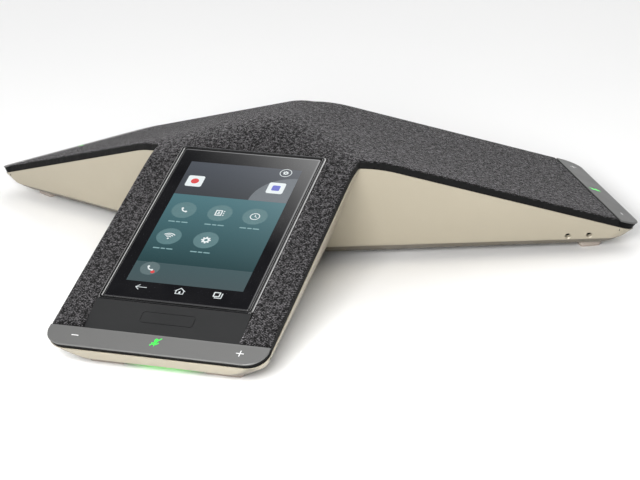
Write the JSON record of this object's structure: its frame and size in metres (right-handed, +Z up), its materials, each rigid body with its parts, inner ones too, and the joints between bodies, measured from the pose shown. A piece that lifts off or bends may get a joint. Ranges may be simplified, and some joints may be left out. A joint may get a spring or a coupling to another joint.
{
  "type": "tabletop conference phone",
  "caption": "Three-legged tabletop conference phone: fabric-covered sloping top, undercut pale base, tilted touch screen on the front leg and a touch bar with lit signs across each leg end.",
  "frame": {"origin": "on the table plane, under the centre of the phone's plan outline; the hub axis where the legs meet is at x 0, y 25.66 mm", "axes": "+Z up, -Y towards the user along the front leg that carries the screen, +X to the user's right"},
  "size_m": [0.3832, 0.3351, 0.0773],
  "materials": {
    "base_plastic": "satin champagne moulded plastic",
    "carrier_plastic": "matt",
    "cover_fabric": "charcoal melange knit",
    "bar_metal": "satin grey",
    "black_plastic": "satin",
    "circuit_board": "solder mask",
    "sign_light": "translucent",
    "foot_rubber": "matt",
    "light_guide": "translucent green glow",
    "seal_rubber": "matt",
    "ribbon_film": "film",
    "frame_metal": "satin anodised grey",
    "cover_glass": "polished black glass",
    "screen": "lit screen",
    "steel": "plain",
    "chin_plastic": "fine grain",
    "copper": "plain",
    "cone_paper": "pressed paper",
    "spider_cloth": "resin-set cloth",
    "magnet": "plated",
    "component_black": "moulded",
    "wire_red": "insulation"
  },
  "bodies": {
    "housing": {"base_shell": "base_plastic", "top_shell": "carrier_plastic", "fabric_cover": "cover_fabric", "front_touch_bar": "bar_metal", "right_touch_bar": "bar_metal", "left_touch_bar": "bar_metal", "front_end_cap": "black_plastic", "right_end_cap": "black_plastic", "left_end_cap": "black_plastic", "front_touch_board": "circuit_board", "right_touch_board": "circuit_board", "left_touch_board": "circuit_board", "front_touch_signs": "sign_light", "right_touch_signs": "sign_light", "left_touch_signs": "sign_light", "front_foot": "foot_rubber", "right_foot": "foot_rubber", "left_foot": "foot_rubber", "front_glow_bar": "light_guide", "right_glow_bar": "light_guide", "left_glow_bar": "light_guide", "front_mic_board": "circuit_board", "right_mic_board": "circuit_board", "left_mic_board": "circuit_board", "front_ribbon": "ribbon_film", "right_ribbon": "ribbon_film", "left_ribbon": "ribbon_film", "mic_seals": "seal_rubber", "display_frame": "frame_metal", "cover_glass": "cover_glass", "lcd_panel": "screen", "backlight_tray": "steel", "display_board": "circuit_board", "chin_plate": "chin_plastic", "near_field_coil": "copper", "speaker_basket": "black_plastic", "speaker_yoke": "steel", "speaker_magnet": "magnet", "pole_plate": "steel", "speaker_surround": "seal_rubber", "speaker_spider": "spider_cloth", "speaker_gasket": "seal_rubber", "main_board": "circuit_board", "shield_can": "steel", "board_parts": "component_black", "jack_shell": "steel", "jack_insert": "component_black", "usb_a_shell": "steel", "usb_c_shell": "steel", "usb_tongues": "component_black", "port_panel": "black_plastic", "lock_plate": "steel", "wifi_antennas": "circuit_board", "speaker_lead": "wire_red", "case_screws": "steel", "board_screws": "steel", "speaker_screws": "steel"},
    "cone": {"voice_coil": "copper", "speaker_cone": "cone_paper", "dust_cap": "cone_paper"}
  },
  "joints": [
    {"name": "cone_travel", "type": "slide", "parent": "housing", "child": "cone", "axis": [0, 0, 1], "range_m": [-0.0025, 0.0025], "stiffness_N_per_m": 1200, "deforming": ["speaker_surround", "speaker_spider"]}
  ]
}
